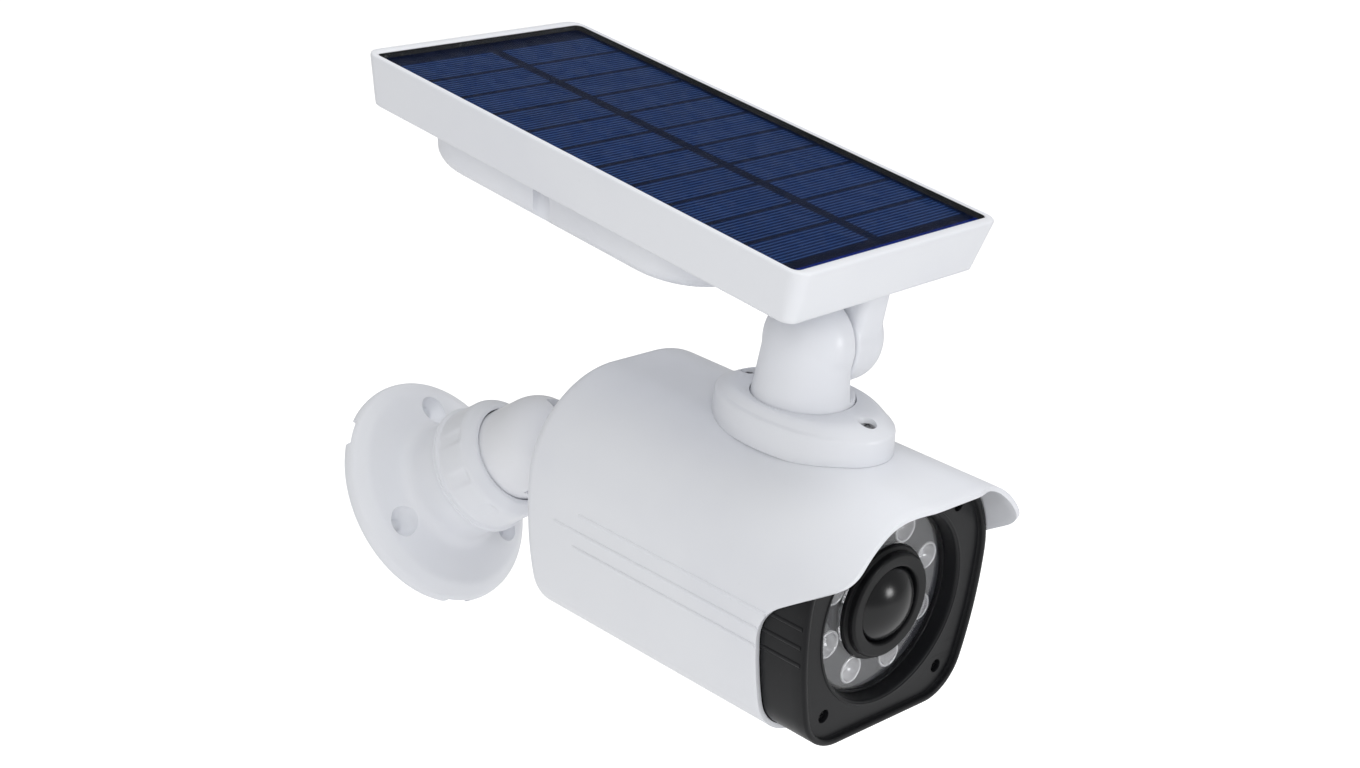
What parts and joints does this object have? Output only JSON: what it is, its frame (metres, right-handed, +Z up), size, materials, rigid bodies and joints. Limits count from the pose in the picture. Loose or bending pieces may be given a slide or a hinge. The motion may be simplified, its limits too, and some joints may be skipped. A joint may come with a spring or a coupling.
{
  "type": "security camera",
  "caption": "Hooded bullet security camera on a swivelling wall bracket, with a solar panel head on a tilting neck",
  "frame": {"origin": "centre of the wall flange's back face, where it meets the wall", "axes": "+Z is up through the camera housing, -Y is the way the lens looks, +X is to the right as seen from in front of the lens side (from -Y); the wall's inward normal leans against the stem as pictured"},
  "size_m": [0.1167, 0.2756, 0.2237],
  "materials": {
    "white_plastic": "white ABS, semi-gloss, faint blue tint",
    "head_plastic": "white ABS, polished",
    "black_plastic": "charcoal black ABS, satin",
    "dome_plastic": "black infrared-passing plastic, polished",
    "clear_plastic": "clear acrylic",
    "reflector_plastic": "smoky grey metallised plastic",
    "steel": "zinc-plated or stainless steel",
    "brass": "turned brass",
    "rubber": "black silicone rubber",
    "board": "green glass-epoxy circuit board",
    "solar": "deep blue silicon solar cells",
    "panel_glass": "low-iron glass over the cells",
    "battery": "heat-shrink sleeve"
  },
  "bodies": {
    "wall_mount": {"wall_flange": "white_plastic", "friction_washer": "steel"},
    "ring": {"locking_ring": "white_plastic"},
    "head": {"swivel_head": "head_plastic", "tilt_pin": "steel"},
    "arm": {"stem": "white_plastic"},
    "arm_nut": {"stem_nut": "brass"},
    "camera": {"housing": "white_plastic", "bezel": "black_plastic", "bezel_seal": "rubber", "bezel_screw_lower_left": "steel", "bezel_screw_upper_left": "steel", "bezel_screw_lower_right": "steel", "bezel_screw_upper_right": "steel", "window": "clear_plastic", "reflector": "reflector_plastic", "lamp_lens_1": "clear_plastic", "lamp_lens_2": "clear_plastic", "lamp_lens_3": "clear_plastic", "lamp_lens_4": "clear_plastic", "lamp_lens_5": "clear_plastic", "lamp_lens_6": "clear_plastic", "lamp_lens_7": "clear_plastic", "lamp_lens_8": "clear_plastic", "lamp_board": "board", "sensor_barrel": "black_plastic", "sensor_dome": "dome_plastic", "sensor_board": "board", "infrared_sensor": "steel", "main_board": "board", "button_switch": "black_plastic", "stem_seal": "rubber", "collar": "white_plastic", "collar_screw_front": "steel", "collar_screw_rear": "steel"},
    "button": {"power_button": "rubber"},
    "neck_turret": {"neck": "white_plastic", "neck_nut": "black_plastic", "hinge_insert": "brass"},
    "panel_head": {"panel_tray": "white_plastic", "panel_glass": "panel_glass", "solar_cells": "solar", "battery_cover": "white_plastic", "cover_screw_left": "steel", "cover_screw_right": "steel", "battery_cell_left": "battery", "battery_cell_right": "battery", "charge_board": "board", "hinge_knuckle": "white_plastic", "hinge_screw": "steel", "hinge_washer": "rubber"}
  },
  "joints": [
    {"name": "ring_turn", "type": "hinge", "parent": "wall_mount", "child": "ring", "pos_m": [0.00754, -0.031, 0.02413], "axis": [0.1885, -0.7749, 0.6033], "range_deg": [0, 120]},
    {"name": "bracket_swivel", "type": "hinge", "parent": "wall_mount", "child": "head", "pos_m": [0.00754, -0.031, 0.02413], "axis": [0.1885, -0.7749, 0.6033], "range_deg": [-170, 170]},
    {"name": "arm_tilt", "type": "hinge", "parent": "head", "child": "arm", "pos_m": [0.0115, -0.04727, 0.0368], "axis": [0.9545, 0, -0.2982], "range_deg": [-39, 48]},
    {"name": "stem_roll", "type": "hinge", "parent": "arm", "child": "camera", "pos_m": [0.0115, -0.09227, 0.0368], "axis": [0, -1, 0], "range_deg": [-60, 60]},
    {"name": "stem_nut_turn", "type": "hinge", "parent": "arm", "child": "arm_nut", "pos_m": [0.0115, -0.09927, 0.0368], "axis": [0, -1, 0], "range_deg": [0, 180]},
    {"name": "button_press", "type": "slide", "parent": "camera", "child": "button", "axis": [0, 0, 1], "range_m": [0, 0.0012], "stiffness_N_per_m": 200},
    {"name": "panel_swivel", "type": "hinge", "parent": "camera", "child": "neck_turret", "pos_m": [0.0115, -0.17657, 0.1023], "axis": [0, 0, 1], "range_deg": [-170, 170]},
    {"name": "panel_tilt", "type": "hinge", "parent": "neck_turret", "child": "panel_head", "pos_m": [0.0115, -0.17657, 0.1213], "axis": [0.9987, 0.0515, 0], "range_deg": [-20, 50]}
  ]
}
